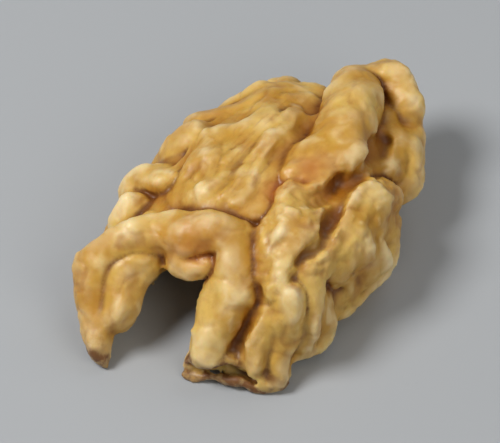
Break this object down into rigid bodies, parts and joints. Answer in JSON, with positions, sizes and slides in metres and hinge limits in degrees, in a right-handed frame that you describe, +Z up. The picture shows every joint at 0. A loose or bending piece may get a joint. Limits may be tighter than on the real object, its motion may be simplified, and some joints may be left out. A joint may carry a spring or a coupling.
{
  "type": "walnut kernel half",
  "caption": "Shelled half of a walnut kernel with folded skin, a notched base and a hollow inner face, lying on that face.",
  "frame": {"origin": "bottom centre of the half's bounding box, on the surface it lies on", "axes": "+Y along the half from the notched base to the tip, +Z up through the folded outside, X across the two lobes"},
  "size_m": [0.0242, 0.0368, 0.0133],
  "materials": {
    "kernel_skin": "satin"
  },
  "bodies": {
    "root": {"kernel": "kernel_skin"}
  },
  "joints": []
}
